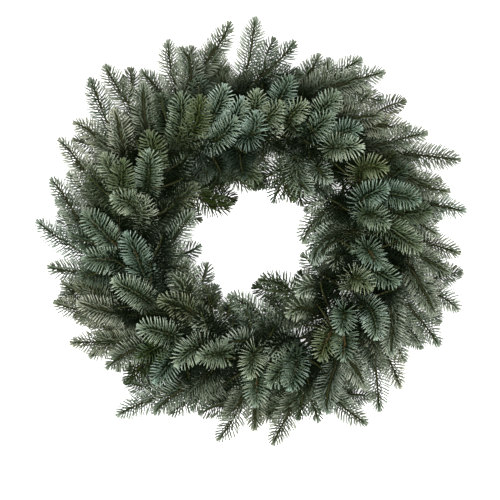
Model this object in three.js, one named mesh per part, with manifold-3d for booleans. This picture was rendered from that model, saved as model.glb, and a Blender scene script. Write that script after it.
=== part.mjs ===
// A fresh evergreen wreath, 600 mm across, lying on its back with its face up.
//
// A welded wire ring frame carries nineteen bunches of cut fir boughs. Each bunch has an outer, a
// face and an inner spray, whose bare stems lie side by side on the two raised rails of the frame
// and are tied down by one continuous binding wire. The tips of each bunch rise clockwise over the
// stems of the next. Bearings are degrees clockwise from the top of the wreath, reaches are
// millimetres from the centre of the ring, and headings are degrees clockwise from straight outward.

import * as THREE from 'three';
import { mergeVertices } from 'three/addons/utils/BufferGeometryUtils.js';
import Module from 'manifold-3d';

const wasm = await Module();
wasm.setup();

// Ring frame: two low rails that rest on the surface, and two raised rails that carry the stems.
const LOW_RAILS = [128, 178];
const RAISED_RAILS = [147, 161];
const RAISED_HEIGHT = 24;
const RAIL_WIRE = 1.5;
const RAIL_SIDES = 5;
const RAIL_SEGMENTS = 26;
const BRACES = 6;
const BRACE_WIRE = 1.2;
const FIRST_BRACE = 10.3;
const FRAME_COLOUR = 0x3d4a3c;

// Binding wire: turns round the rails and the stems of each bunch, at the first of two places
// before the fork that has no brace within the clearance, all in degrees.
const TIE_WIRE = 0.5;
const TIE_TURNS = 2;
const TIE_PITCH = 2.6;
const TIE_SLACK = 0.6;
const TIE_PLACES = [-2.4, -5.4];
const TIE_CLEARANCE = 2.6;
const WIRE_COLOUR = 0x3b4638;

// Stems and twigs.
const STEM_RADIUS = 2.6;
const STEM_SPACING = 5;
const STEM_TURN = 9;
const SEAT_GAP = 0.3;
const TWIG_RADIUS = 2.3;
const TIP_RADIUS = 1.3;
const TWIG_HANDLE = 0.38;
const FIRST_FORK = 0.08;
const FORK_STEP = 0.1;
const LIFTS = [0, 4, -4, 8, -8, 12, -12, 16, -16, 20, 24, 28];

// Needles, in whorls along the last stretch of each twig. Angles are in degrees, turns in radians.
const NEEDLE_LENGTH = 21;
const NEEDLE_ROOT = 2.4;
const NEEDLE_LEAN = 52;
const TIP_LEAN = 14;
const LEAN_SPREAD = 30;
const WHORL_PITCH = 26;
const WHORL_TURN = 0.65;
const FOLIATED_LENGTH = 72;
const FOLIATED_SHARE = 0.69;
const LONG_BARE = 40;
const TIP_BARE = 7;
const TIP_NEEDLES = 8;
const SHORTENINGS = [1, 0.85, 0.7, 0.55];
const SWAYS = [0, 12, -12, 24, -24];
const TUCKS = [0, -14, 14, -26, 26];

// What stays clear: the least gap between pieces, to the surface below and in the wreath's hole.
const GAP = 0.4;
const FLOOR_GAP = 2;
const HOLE_HALF_SIDE = 44;

// Every foliage tip, as bearing, reach and heading, bunch by bunch round the ring.
const BUNCHES = [
  { outer: [[31.5, 292, 29], [20, 274, 4], [38.6, 294, 37]],
    face: [[14, 231, 15], [13, 194, 30]],
    inner: [[16.5, 161, 60], [11, 84, 100]] },
  { outer: [[38.6, 264, 5], [23, 274, -5], [47, 248, 45], [55, 268, 37]],
    face: [[30.6, 235, 15], [22.5, 204, 35], [32.7, 207, 15]],
    inner: [[53.8, 106, 70], [50, 80, 92]] },
  { outer: [[58.6, 283, 22], [69, 307, 29], [76, 279, 19]],
    face: [[45, 214, 41], [50.6, 199, 43]],
    inner: [[54.7, 135, 75]] },
  { outer: [[82.2, 296, 20], [72, 274, 10], [88.6, 256, 31], [83, 262, 10]],
    face: [[77, 236, 32], [62.9, 210, 42]],
    inner: [[95, 70, 95]] },
  { outer: [[99.3, 276, 20], [93.6, 287, 18], [112.2, 271, 40]],
    face: [[84.7, 187, 47], [69, 201, 10], [93.4, 232, 33]],
    inner: [[98, 139, 80], [112, 92, 68]] },
  { outer: [[119.4, 294, 29], [108.8, 300, 29], [130, 246, 51], [128.4, 268, 20]],
    face: [[102.9, 177, 53], [106, 210, 10]],
    inner: [[111, 123, 65]] },
  { outer: [[135, 286, 29], [122, 264, 2], [143.4, 290, 32]],
    face: [[129, 214, 55], [112, 177, 20]],
    inner: [[142, 96, 82]] },
  { outer: [[142.5, 256, 18], [159, 252, 30], [156.3, 258, 15]],
    face: [[143.5, 203, 50], [137, 174, 56], [151, 186, 48]],
    inner: [[156.5, 113, 72], [173, 53, 95]] },
  { outer: [[159.7, 264, 5], [147.5, 297, -20], [166, 251, 35], [174.5, 280, 30]],
    face: [[166.5, 208, 35], [174, 197, 46]],
    inner: [[173.5, 162, 45], [206, 79, 88]] },
  { outer: [[190.2, 276, 33], [179.2, 260, 5], [189.5, 243, 45]],
    face: [[179, 224, 8], [181, 187, 7]],
    inner: [[197.5, 146, 58]] },
  { outer: [[206.5, 262, 38], [198, 229, 40], [209.7, 271, 10], [218, 302, 21]],
    face: [[206, 173, 55], [211.5, 199, 7]],
    inner: [[214.5, 143, 25], [239, 151, 40]] },
  { outer: [[241.2, 284, 27], [221.8, 262, 0], [228.8, 264, -3]],
    face: [[225, 222, 20], [214.7, 234, 5], [234.3, 192, 50]],
    inner: [[250, 122, 52], [258, 92, 90]] },
  { outer: [[253.6, 282, 42], [234.7, 274, 8], [251.5, 252, 37], [256.8, 249, 35]],
    face: [[255.2, 196, 41], [275, 171, 57]],
    inner: [[263, 163, 50]] },
  { outer: [[276, 295, 36], [263.4, 282, 25], [287.9, 287, 33]],
    face: [[280.6, 232, 35], [264.3, 231, 6]],
    inner: [[268.8, 145, 58], [300, 88, 95]] },
  { outer: [[291, 268, 30], [277.9, 256, 10], [298.2, 298, 17]],
    face: [[303.8, 205, 65], [287.5, 201, -5], [301, 235, 30]],
    inner: [[295, 161, 62]] },
  { outer: [[315.6, 314, 24], [305, 263, 30], [314.3, 262, 25], [303.8, 294, -8]],
    face: [[312.5, 187, 45], [317.5, 206, 27]],
    inner: [[318.4, 109, 77]] },
  { outer: [[320.4, 314, 12], [319.3, 244, 16], [326.5, 263, 36]],
    face: [[340.8, 211, 17], [335, 225, 20]],
    inner: [[326, 145, 70], [337, 57, 95]] },
  { outer: [[338, 298, 25], [327.2, 280, -7], [339, 282, -31], [354.7, 302, 26]],
    face: [[351, 216, 25], [353.9, 170, 40], [357, 197, 20]],
    inner: [[340.6, 158, 48]] },
  { outer: [[1, 307, 5], [348.3, 277, 0], [12.5, 280, 22]],
    face: [[2, 207, 0], [2, 178, 0]],
    inner: [[5, 75, 93]] },
];
const BUNCH_STEP = 360 / BUNCHES.length;

// The three sprays of a bunch: where the stem lies, how it leaves the ring and how high its tips end.
const LAYERS = {
  outer: {
    stem: 1,
    leave: 62,
    rise: 0.3,
    tipSlope: 0.02,
    colour: 0x54705f,
    tipHeight: (reach, index) => [50, 34, 62, 44][index],
  },
  face: {
    stem: 0,
    leave: 82,
    rise: 0.75,
    tipSlope: 0.25,
    colour: 0x6f8a78,
    tipHeight: (reach, index) => 112 - 0.3 * Math.abs(reach - 180) - 5 * index,
  },
  inner: {
    stem: -1,
    leave: 112,
    rise: 0.4,
    tipSlope: 0.05,
    colour: 0x48604e,
    tipHeight: (reach, index) => 40 + 0.36 * (reach - 50) + 6 * index,
  },
};

const radians = THREE.MathUtils.degToRad;
const UP = new THREE.Vector3(0, 0, 1);

// One repeatable stream of random numbers from 0 to 1.
let seed = 20240;
function random() {
  seed = (Math.imul(seed, 1664525) + 1013904223) >>> 0;
  return seed / 4294967296;
}

function outward(bearing) {
  return new THREE.Vector3(Math.sin(radians(bearing)), Math.cos(radians(bearing)), 0);
}

function clockwise(bearing) {
  return new THREE.Vector3(Math.cos(radians(bearing)), -Math.sin(radians(bearing)), 0);
}

function onRing(bearing, reach, height) {
  return outward(bearing).multiplyScalar(reach).setZ(height);
}

// The direction of a twig at a bearing, from its heading and its slope.
function direction(bearing, heading, slope) {
  const along = outward(bearing).multiplyScalar(Math.cos(radians(heading)));
  along.addScaledVector(clockwise(bearing), Math.sin(radians(heading)));
  return along.setZ(slope).normalize();
}

// --- Solids ---------------------------------------------------------------------------------------

function solidFrom(geometry) {
  const bare = new THREE.BufferGeometry();
  bare.setAttribute('position', geometry.getAttribute('position'));
  bare.setIndex(geometry.getIndex());
  const merged = mergeVertices(bare, 1e-4);
  const vertProperties = new Float32Array(merged.getAttribute('position').array);
  const triVerts = new Uint32Array(merged.getIndex().array);
  return new wasm.Manifold(new wasm.Mesh({ numProp: 3, vertProperties, triVerts }));
}

function geometryFrom(solid) {
  const mesh = solid.getMesh();
  const geometry = new THREE.BufferGeometry();
  geometry.setAttribute('position', new THREE.BufferAttribute(new Float32Array(mesh.vertProperties), 3));
  geometry.setIndex(Array.from(mesh.triVerts));
  geometry.computeVertexNormals();
  return geometry;
}

function joined(solids) {
  return solids.reduce((whole, piece) => whole.add(piece));
}

// The corners of a tube's section at a point, turned by an angle from straight up.
function sectionCorners(centre, along, radius, turn, sides) {
  const up = UP.clone().addScaledVector(along, -UP.dot(along)).normalize();
  const side = new THREE.Vector3().crossVectors(along, up);
  return Array.from({ length: sides }, (_, k) => {
    const angle = turn + (2 * Math.PI * k) / sides;
    const corner = centre.clone().addScaledVector(up, radius * Math.cos(angle));
    return corner.addScaledVector(side, radius * Math.sin(angle));
  });
}

// A closed tube through rings of corners, with flat ends.
function tubeGeometry(rings) {
  const sides = rings[0].length;
  const index = [];
  for (let r = 0; r + 1 < rings.length; r += 1) {
    for (let k = 0; k < sides; k += 1) {
      const a = r * sides + k;
      const b = r * sides + ((k + 1) % sides);
      index.push(a, b, a + sides, b, b + sides, a + sides);
    }
  }
  const last = (rings.length - 1) * sides;
  for (let k = 1; k + 1 < sides; k += 1) {
    index.push(0, k + 1, k, last, last + k, last + k + 1);
  }
  return indexed(rings.flat(), index);
}

function indexed(points, index) {
  const geometry = new THREE.BufferGeometry();
  geometry.setFromPoints(points);
  geometry.setIndex(index);
  return geometry;
}

// --- What a needle has to stay clear of -----------------------------------------------------------

// Every twig, needle and wire is noted as a straight cone between two points.
const cones = [];

function cone(start, end, startRadius, endRadius, notes) {
  const middle = start.clone().add(end).multiplyScalar(0.5);
  const span = start.distanceTo(end) / 2 + Math.max(startRadius, endRadius);
  return { start, end, startRadius, endRadius, middle, span, ...notes };
}

// How far apart two cones are, at the closest points of their centre lines.
function coneGap(one, two) {
  const alongOne = one.end.clone().sub(one.start);
  const alongTwo = two.end.clone().sub(two.start);
  const between = one.start.clone().sub(two.start);
  const a = alongOne.dot(alongOne);
  const b = alongOne.dot(alongTwo);
  const c = alongOne.dot(between);
  const e = alongTwo.dot(alongTwo);
  const f = alongTwo.dot(between);
  const skew = a * e - b * b;
  const share = (x) => THREE.MathUtils.clamp(x, 0, 1);
  const guess = skew > 1e-6 ? share((b * f - c * e) / skew) : 0;
  const t = share((b * guess + f) / e);
  const s = share((b * t - c) / a);
  const onOne = one.start.clone().addScaledVector(alongOne, s);
  const onTwo = two.start.clone().addScaledVector(alongTwo, t);
  const radiusOne = THREE.MathUtils.lerp(one.startRadius, one.endRadius, s);
  const radiusTwo = THREE.MathUtils.lerp(two.startRadius, two.endRadius, t);
  return onOne.distanceTo(onTwo) - radiusOne - radiusTwo;
}

// Whether a cone keeps the gap to all that is placed, apart from what it is let off.
function isClear(candidate, letOff) {
  return cones.every((other) => {
    if (letOff(other)) return true;
    const reach = candidate.span + other.span + GAP;
    if (candidate.middle.distanceToSquared(other.middle) > reach * reach) return true;
    return coneGap(candidate, other) > GAP;
  });
}

function entersHole(point) {
  return Math.max(Math.abs(point.x), Math.abs(point.y)) < HOLE_HALF_SIDE;
}

// --- Ring frame -----------------------------------------------------------------------------------

const RAIL_FLAT = RAIL_WIRE * Math.cos(Math.PI / RAIL_SIDES);
const RAILS = [
  ...LOW_RAILS.map((reach) => [reach, RAIL_FLAT]),
  ...RAISED_RAILS.map((reach) => [reach, RAISED_HEIGHT]),
];

// A ring of wire with a narrow flat underneath.
function railSolid([reach, height]) {
  const profile = Array.from({ length: RAIL_SIDES + 1 }, (_, k) => {
    const angle = -Math.PI / 2 + (Math.PI * (2 * k + 1)) / RAIL_SIDES;
    return new THREE.Vector2(reach + RAIL_WIRE * Math.cos(angle), height + RAIL_WIRE * Math.sin(angle));
  });
  const rail = new THREE.LatheGeometry(profile, RAIL_SEGMENTS);
  rail.rotateX(Math.PI / 2);
  return solidFrom(rail);
}

// A bent wire welded across the four rails.
function braceSolid(bearing) {
  const [lowInner, lowOuter] = LOW_RAILS;
  const [highInner, highOuter] = RAISED_RAILS;
  const path = [
    [lowInner - 0.6, RAIL_WIRE],
    [lowInner + 4, RAIL_WIRE + 7],
    [highInner - 1, RAISED_HEIGHT],
    [highOuter + 1, RAISED_HEIGHT],
    [lowOuter - 4, RAIL_WIRE + 7],
    [lowOuter + 0.6, RAIL_WIRE],
  ];
  const rings = path.map(([reach, height], k) => {
    const [backReach, backHeight] = path[Math.max(0, k - 1)];
    const [nextReach, nextHeight] = path[Math.min(path.length - 1, k + 1)];
    const along = outward(bearing).multiplyScalar(nextReach - backReach).setZ(nextHeight - backHeight);
    return sectionCorners(onRing(bearing, reach, height), along.normalize(), BRACE_WIRE, Math.PI / 4, 4);
  });
  return solidFrom(tubeGeometry(rings));
}

function ringFrame() {
  const braces = Array.from({ length: BRACES }, (_, k) => braceSolid(FIRST_BRACE + (360 / BRACES) * k));
  return geometryFrom(joined([...RAILS.map(railSolid), ...braces]));
}

function noteRails() {
  const step = 360 / RAIL_SEGMENTS;
  for (const [reach, height] of RAILS) {
    for (let k = 0; k < RAIL_SEGMENTS; k += 1) {
      const start = onRing(step * k, reach, height);
      const end = onRing(step * (k + 1), reach, height);
      cones.push(cone(start, end, RAIL_WIRE, RAIL_WIRE, { rests: true }));
    }
  }
}

// --- Binding wire ---------------------------------------------------------------------------------

const RAIL_MIDDLE = (RAISED_RAILS[0] + RAISED_RAILS[1]) / 2;
const STEM_HEIGHT = RAISED_HEIGHT + RAIL_WIRE + SEAT_GAP + STEM_RADIUS / 2;

// How many degrees a bearing is from the nearest brace.
function fromBrace(bearing) {
  const step = 360 / BRACES;
  const past = THREE.MathUtils.euclideanModulo(bearing - FIRST_BRACE, step);
  return Math.min(past, step - past);
}

// The bearing where the stems of a bunch are tied, to one side of any brace.
function tieBearing(bunch) {
  const [near, far] = TIE_PLACES.map((place) => bunch * BUNCH_STEP + place);
  return fromBrace(near) > TIE_CLEARANCE ? near : far;
}

// The wire's way round the ring: under the rails from bunch to bunch, with its turns at each.
function wirePoints() {
  const margin = TIE_SLACK + TIE_WIRE;
  const railSag = RAISED_RAILS[0] * (1 - Math.cos(Math.PI / RAIL_SEGMENTS));
  const halfBelow = (RAISED_RAILS[1] - RAISED_RAILS[0]) / 2 + RAIL_WIRE + railSag + margin;
  const halfAbove = STEM_SPACING + STEM_RADIUS + margin;
  const below = RAISED_HEIGHT - RAIL_WIRE - margin;
  const above = STEM_HEIGHT + STEM_RADIUS + margin;
  const turn = [[-halfBelow, below], [-halfAbove, above], [halfAbove, above], [halfBelow, below]];
  const tie = [[0, below], ...Array(TIE_TURNS).fill(turn).flat(), [0, below]];
  return BUNCHES.flatMap((_, bunch) => tie.map(([offset, height], k) => {
    const advance = (TIE_PITCH * (k - tie.length / 2)) / turn.length / radians(RAIL_MIDDLE);
    return onRing(tieBearing(bunch) + advance, RAIL_MIDDLE + offset, height);
  }));
}

function bindingWire() {
  const points = wirePoints();
  const rings = points.map((point, k) => {
    const before = points[Math.max(0, k - 1)];
    const after = points[Math.min(points.length - 1, k + 1)];
    const along = after.clone().sub(before).normalize();
    if (k > 0) cones.push(cone(points[k - 1], point, TIE_WIRE, TIE_WIRE, {}));
    return sectionCorners(point, along, TIE_WIRE, 0, 3);
  });
  return geometryFrom(solidFrom(tubeGeometry(rings)));
}

// --- Twigs ----------------------------------------------------------------------------------------

// The line of a twig, which leaves its fork along one direction and ends at its tip along another.
function twigCurve(fork, leave, tip, arrive) {
  const handle = TWIG_HANDLE * fork.distanceTo(tip);
  const first = fork.clone().addScaledVector(leave, handle);
  const second = tip.clone().addScaledVector(arrive, -handle);
  return new THREE.CubicBezierCurve3(fork, first, second, tip);
}

// The first twig of a spray is its bough, with a bare stem on the rails. The others fork from it.
function twigLine(layer, bunch, index, bough, lift) {
  const shape = LAYERS[layer];
  const [bearing, reach, heading] = BUNCHES[bunch][layer][index];
  const arrive = direction(bearing, heading, shape.tipSlope);
  const tip = onRing(bearing, reach, shape.tipHeight(reach, index) + lift);
  tip.addScaledVector(arrive, -TIP_NEEDLES);
  if (bough) {
    const where = FIRST_FORK + FORK_STEP * index;
    const fork = bough.getPointAt(where);
    const towards = tip.clone().sub(fork).normalize();
    const leave = bough.getTangentAt(where).add(towards).normalize();
    return { curve: twigCurve(fork, leave, tip, arrive), cutEnd: null };
  }
  const stemBearing = bunch * BUNCH_STEP;
  const stemReach = RAIL_MIDDLE + shape.stem * STEM_SPACING;
  const fork = onRing(stemBearing, stemReach, STEM_HEIGHT);
  const leave = direction(stemBearing, shape.leave, shape.rise);
  const cutEnd = onRing(stemBearing - STEM_TURN, stemReach, STEM_HEIGHT);
  return { curve: twigCurve(fork, leave, tip, arrive), cutEnd };
}

// The rings of corners along a twig: its cut end, its fork, and two for each short band of needles.
function twigStations({ curve, cutEnd }) {
  const length = curve.getLength();
  const foliated = Math.min(FOLIATED_LENGTH, FOLIATED_SHARE * length);
  const gaps = Math.max(1, Math.round((foliated - TIP_BARE) / WHORL_PITCH));
  const stations = [];
  const add = (distance, turn, band) => {
    const share = distance / length;
    const radius = THREE.MathUtils.lerp(TWIG_RADIUS, TIP_RADIUS, share * share);
    const centre = curve.getPointAt(share);
    stations.push({ centre, along: curve.getTangentAt(share), radius, turn, band });
  };
  if (cutEnd) {
    const along = curve.getPointAt(0).sub(cutEnd).normalize();
    stations.push({ centre: cutEnd, along, radius: STEM_RADIUS, turn: 0, band: false });
  }
  add(0, 0, false);
  if (cutEnd) stations[1].radius = STEM_RADIUS;
  const bare = length - foliated;
  if (bare > LONG_BARE) add(bare / 2, 0, false);
  for (let k = 0; k <= gaps; k += 1) {
    const middle = THREE.MathUtils.lerp(bare, length - TIP_BARE, k / gaps);
    const turn = WHORL_TURN * (k + 1) + (Math.PI / 3) * k;
    add(middle - NEEDLE_ROOT / 2, turn, true);
    add(middle + NEEDLE_ROOT / 2, turn + Math.PI / 3, false);
  }
  return stations;
}

function twigCones(twig, notes) {
  return twig.stations.map((station, k) => {
    const next = twig.stations[k + 1] ?? { centre: twig.curve.getPointAt(1), radius: TIP_RADIUS / 3 };
    const rests = station.radius === STEM_RADIUS;
    return cone(station.centre, next.centre, station.radius, next.radius, { ...notes, rests, bark: true });
  });
}

// A twig is raised or lowered in small steps until it clears the twigs and wires already placed.
// The stems of a bunch and the rails are let off, because they lie against each other.
function placeTwig(layer, bunch, index, bough, spray) {
  const id = `${spray}_${index}`;
  for (const lift of LIFTS) {
    const twig = twigLine(layer, bunch, index, bough, lift);
    twig.id = id;
    twig.stations = twigStations(twig);
    const pieces = twigCones(twig, { spray, id });
    const letOff = (piece, other) => other.spray === spray || (piece.rests && other.rests);
    if (pieces.every((piece) => isClear(piece, (other) => letOff(piece, other)))) {
      cones.push(...pieces);
      return twig;
    }
  }
  throw new Error(`no clear way for ${id}`);
}

// --- Needles --------------------------------------------------------------------------------------

// The point of a needle that grows from a small triangle of bark. It is swayed, tucked in or
// shortened until it is clear, and left out where there is no room.
function needlePoint(root, station, nearTip, id) {
  const spoke = root.clone().sub(station.centre);
  spoke.addScaledVector(station.along, -spoke.dot(station.along)).normalize();
  const side = new THREE.Vector3().crossVectors(station.along, spoke);
  const lean = NEEDLE_LEAN - TIP_LEAN * nearTip + LEAN_SPREAD * (random() - 0.5);
  const length = NEEDLE_LENGTH * (1 - 0.22 * nearTip) * (0.92 + 0.16 * random());
  const letOff = (other) => other.id === id && (other.bark || other.station === station);
  for (const share of SHORTENINGS) {
    for (const sway of SWAYS) {
      for (const tuck of TUCKS) {
        const out = spoke.clone().multiplyScalar(Math.cos(radians(sway)));
        out.addScaledVector(side, Math.sin(radians(sway)));
        const aim = station.along.clone().multiplyScalar(Math.cos(radians(lean + tuck)));
        aim.addScaledVector(out, Math.sin(radians(lean + tuck)));
        const point = root.clone().addScaledVector(aim, length * share);
        const needle = cone(root.clone().addScaledVector(aim, 0.6), point, 1.5, 0.05, { id, station });
        if (point.z > FLOOR_GAP && !entersHole(point) && isClear(needle, letOff)) {
          cones.push(needle);
          return point;
        }
      }
    }
  }
  return null;
}

// A twig's surface: three-sided bark, with each small triangle of a needle band drawn out to a point.
function twigGeometry(twig) {
  const { stations, curve, id } = twig;
  const points = stations.flatMap((s) => sectionCorners(s.centre, s.along, s.radius, s.turn, 3));
  const index = [0, 2, 1];
  const drawOut = (corners, apex) => {
    points.push(apex);
    const top = points.length - 1;
    corners.forEach((corner, k) => index.push(corner, corners[(k + 1) % 3], top));
  };
  stations.slice(0, -1).forEach((station, r) => {
    for (let k = 0; k < 3; k += 1) {
      const a = 3 * r + k;
      const b = 3 * r + ((k + 1) % 3);
      for (const corners of [[a, b, a + 3], [b, b + 3, a + 3]]) {
        const root = new THREE.Vector3();
        corners.forEach((corner) => root.addScaledVector(points[corner], 1 / 3));
        const apex = station.band ? needlePoint(root, station, r / stations.length, id) : null;
        if (apex) drawOut(corners, apex);
        else index.push(...corners);
      }
    }
  });
  const last = 3 * (stations.length - 1);
  drawOut([last, last + 1, last + 2], curve.getPointAt(1));
  return indexed(points, index);
}

// --- The wreath -----------------------------------------------------------------------------------

function named(name, geometry, colour, roughness, metalness) {
  const material = new THREE.MeshStandardMaterial({ color: colour, roughness, metalness });
  const mesh = new THREE.Mesh(geometry, material);
  mesh.name = name;
  return mesh;
}

function placeSpray(layer, bunch) {
  const name = `spray_${layer}_${String(bunch + 1).padStart(2, '0')}`;
  const twigs = [];
  BUNCHES[bunch][layer].forEach((_, index) => {
    twigs.push(placeTwig(layer, bunch, index, twigs[0]?.curve, name));
  });
  return { name, twigs, colour: LAYERS[layer].colour };
}

// The origin is the middle of the wreath's outline, on the surface that it lies on.
function centred(group) {
  const box = new THREE.Box3().setFromObject(group, true);
  const middle = box.getCenter(new THREE.Vector3()).setZ(box.min.z);
  group.children.forEach((mesh) => mesh.position.sub(middle));
  return group;
}

function wreath() {
  const group = new THREE.Group();
  noteRails();
  group.add(named('ring_frame', ringFrame(), FRAME_COLOUR, 0.5, 0.8));
  group.add(named('binding_wire', bindingWire(), WIRE_COLOUR, 0.5, 0.8));
  const sprays = Object.keys(LAYERS).flatMap((layer) => BUNCHES.map((_, bunch) => placeSpray(layer, bunch)));
  for (const { name, twigs, colour } of sprays) {
    const solid = joined(twigs.map((twig) => solidFrom(twigGeometry(twig))));
    group.add(named(name, geometryFrom(solid), colour, 0.7, 0));
  }
  return centred(group);
}

export default wreath();
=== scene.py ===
"""A fresh evergreen wreath, 600 mm across, lying on its back with its face up.

Nineteen bunches of cut fir boughs are bound clockwise onto a welded wire ring. Lengths in the lists
are millimetres from the centre of the ring, bearings are degrees clockwise from the top of the
wreath, and headings are degrees clockwise from straight outward. Meshes are in metres.
"""

import bpy
import numpy as np
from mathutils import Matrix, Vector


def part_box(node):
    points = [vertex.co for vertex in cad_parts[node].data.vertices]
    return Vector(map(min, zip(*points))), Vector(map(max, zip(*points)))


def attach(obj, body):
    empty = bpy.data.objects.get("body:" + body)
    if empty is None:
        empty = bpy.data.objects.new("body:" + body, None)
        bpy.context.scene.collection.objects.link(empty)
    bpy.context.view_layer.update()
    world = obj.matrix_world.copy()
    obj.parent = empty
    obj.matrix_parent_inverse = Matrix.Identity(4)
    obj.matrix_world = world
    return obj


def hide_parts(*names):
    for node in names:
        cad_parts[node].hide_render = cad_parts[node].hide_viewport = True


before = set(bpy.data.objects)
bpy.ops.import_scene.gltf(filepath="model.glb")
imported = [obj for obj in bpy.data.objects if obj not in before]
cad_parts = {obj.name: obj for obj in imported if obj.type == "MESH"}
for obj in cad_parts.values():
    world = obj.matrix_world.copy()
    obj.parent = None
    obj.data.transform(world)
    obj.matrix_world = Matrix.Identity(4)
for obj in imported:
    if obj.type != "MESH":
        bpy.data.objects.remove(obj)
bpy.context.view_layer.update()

# --- Camera, floor and light ----------------------------------------------------------------------
# The wreath lies on a plain white floor under one very wide soft lamp in a white room. The camera
# looks straight down on its face, from so far that high and low tips keep their places.

# The picture's width at the focus height, which is in the middle of the foliage, its middle, and the
# camera's height, in metres. The sensor's width is in millimetres.
PICTURE_WIDTH = 0.675
PICTURE_MIDDLE = (0.0008, -0.0235)
CAMERA_HEIGHT = 5.0
FOCUS_HEIGHT = 0.06
SENSOR_WIDTH = 36.0
# The lamp's strength, its width as an angle and its tilts, in degrees.
LAMP_STRENGTH = 6.6
LAMP_WIDTH = 64
LAMP_TILT = (10, -8)
GLOW_AT_HORIZON = 0.42
GLOW_OVERHEAD = 0.03
FLOOR_GLOW = 0.72

camera_data = bpy.data.cameras.new("camera")
camera_data.sensor_width = SENSOR_WIDTH
camera_data.lens = SENSOR_WIDTH * (CAMERA_HEIGHT - FOCUS_HEIGHT) / PICTURE_WIDTH
camera_data.clip_end = 100.0
camera = bpy.data.objects.new("camera", camera_data)
camera.location = (*PICTURE_MIDDLE, CAMERA_HEIGHT)
bpy.context.scene.collection.objects.link(camera)
bpy.context.scene.camera = camera
bpy.context.scene.view_settings.view_transform = "Standard"

lamp_data = bpy.data.lights.new("softbox", "SUN")
lamp_data.energy = LAMP_STRENGTH
lamp_data.angle = np.radians(LAMP_WIDTH)
lamp = bpy.data.objects.new("softbox", lamp_data)
lamp.rotation_euler = (*np.radians(LAMP_TILT), 0)
bpy.context.scene.collection.objects.link(lamp)


def shader_node(tree, kind, inputs=None, **settings):
    """Adds a node. An input given as a socket is linked, and any other value is set on the input."""
    made = tree.nodes.new(kind)
    for key, value in settings.items():
        setattr(made, key, value)
    for key, value in (inputs or {}).items():
        if isinstance(value, bpy.types.NodeSocket):
            tree.links.new(value, made.inputs[key])
        else:
            made.inputs[key].default_value = value
    return made


def white_room():
    """White walls, which the camera sees bright. They light the wreath only dimly, and less from
    above: the strength runs from its value at the horizon to its value overhead."""
    room = bpy.data.worlds.new("white_room")
    room.use_nodes = True
    tree = room.node_tree
    tree.nodes.clear()
    walls = shader_node(tree, "ShaderNodeBackground", {"Color": (1, 1, 1, 1), "Strength": 1.0})
    towards = shader_node(tree, "ShaderNodeTexCoord").outputs["Generated"]
    height = shader_node(tree, "ShaderNodeSeparateXYZ", {"Vector": towards}).outputs["Z"]
    glow = shader_node(tree, "ShaderNodeMapRange", {
        "Value": height, "To Min": GLOW_AT_HORIZON, "To Max": GLOW_OVERHEAD})
    dim = shader_node(tree, "ShaderNodeBackground", {"Color": (1, 1, 1, 1), "Strength": glow.outputs[0]})
    seen_by = shader_node(tree, "ShaderNodeLightPath")
    mixed = shader_node(tree, "ShaderNodeMixShader",
                        {0: seen_by.outputs["Is Camera Ray"], 1: dim.outputs[0], 2: walls.outputs[0]})
    shader_node(tree, "ShaderNodeOutputWorld", {"Surface": mixed.outputs[0]})
    return room


bpy.context.scene.world = white_room()


def new_material(name):
    """An empty material with its output. Returns the material, its tree and its surface socket."""
    material = bpy.data.materials.new(name)
    material.use_nodes = True
    tree = material.node_tree
    tree.nodes.clear()
    surface = tree.nodes.new("ShaderNodeOutputMaterial").inputs["Surface"]
    return material, tree, surface


def mesh_piece(name, points, faces, material, values=None):
    """A smooth mesh object from metre points, arrays of faces and one number a point for each value."""
    mesh = bpy.data.meshes.new(name)
    mesh.vertices.add(len(points))
    mesh.vertices.foreach_set("co", np.asarray(points, np.float32).ravel())
    corners = np.concatenate([block.ravel() for block in faces]).astype(np.int32)
    counts = np.concatenate([np.full(len(block), block.shape[1]) for block in faces])
    starts = np.concatenate([[0], np.cumsum(counts)[:-1]]).astype(np.int32)
    mesh.loops.add(len(corners))
    mesh.loops.foreach_set("vertex_index", corners)
    mesh.polygons.add(len(counts))
    mesh.polygons.foreach_set("loop_start", starts)
    mesh.update(calc_edges=True)
    mesh.shade_smooth()
    for key, value in (values or {}).items():
        held = mesh.attributes.new(key, "FLOAT", "POINT")
        held.data.foreach_set("value", np.asarray(value, np.float32))
    mesh.materials.append(material)
    piece = bpy.data.objects.new(name, mesh)
    bpy.context.scene.collection.objects.link(piece)
    return piece


def floor_finish():
    """A matt white table with the faintest mottling. The camera sees it lit through from below, and
    the wreath gets only a dim glow from it."""
    material, tree, surface = new_material("white_table")
    place = shader_node(tree, "ShaderNodeTexCoord")
    mottle = shader_node(tree, "ShaderNodeTexNoise", {"Vector": place.outputs["Object"], "Scale": 6.0})
    colour = shader_node(tree, "ShaderNodeMix", {0: mottle.outputs[0], 6: (0.9, 0.9, 0.9, 1),
                                                 7: (0.93, 0.93, 0.93, 1)}, data_type="RGBA")
    seen = shader_node(tree, "ShaderNodeBsdfPrincipled",
                       {"Base Color": colour.outputs[2], "Roughness": 0.9, "Specular IOR Level": 0.1,
                        "Emission Color": (1, 1, 1, 1), "Emission Strength": FLOOR_GLOW})
    glow = shader_node(tree, "ShaderNodeBsdfDiffuse", {"Color": (0.1, 0.1, 0.1, 1)})
    seen_by = shader_node(tree, "ShaderNodeLightPath")
    table = shader_node(tree, "ShaderNodeMixShader",
                        {0: seen_by.outputs["Is Camera Ray"], 1: glow.outputs[0], 2: seen.outputs[0]})
    tree.links.new(table.outputs[0], surface)
    return material


# Half the floor's side, in metres.
FLOOR_HALF = 20.0
floor_corners = FLOOR_HALF * np.array([[-1, -1, 0], [1, -1, 0], [1, 1, 0], [-1, 1, 0]])
floor = mesh_piece("floor", floor_corners, [np.array([[0, 1, 2, 3]])], floor_finish())

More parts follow.
